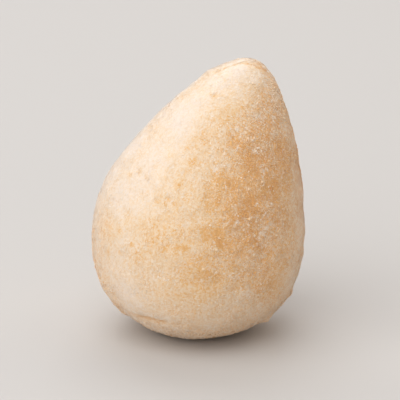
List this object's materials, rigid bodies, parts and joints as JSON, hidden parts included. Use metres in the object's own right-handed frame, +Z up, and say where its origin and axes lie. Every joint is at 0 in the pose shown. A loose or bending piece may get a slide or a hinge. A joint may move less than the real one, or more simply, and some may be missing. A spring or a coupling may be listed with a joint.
{
  "type": "coxinha",
  "caption": "Coxinha, a teardrop-shaped croquette of dough in a fine pale crumb coat, not yet fried, standing on a small flat foot with its rounded tip leaning to one side.",
  "frame": {"origin": "middle of the flat foot that the coxinha stands on", "axes": "+Z up through the body, the tip leans towards +X, and the front faces -Y"},
  "size_m": [0.0567, 0.057, 0.0741],
  "materials": {
    "crumb_coat": "dry, matt, sandy crumb coat, pale cream to light tan with warmer patches"
  },
  "bodies": {
    "root": {"coxinha": "crumb_coat"}
  },
  "joints": []
}
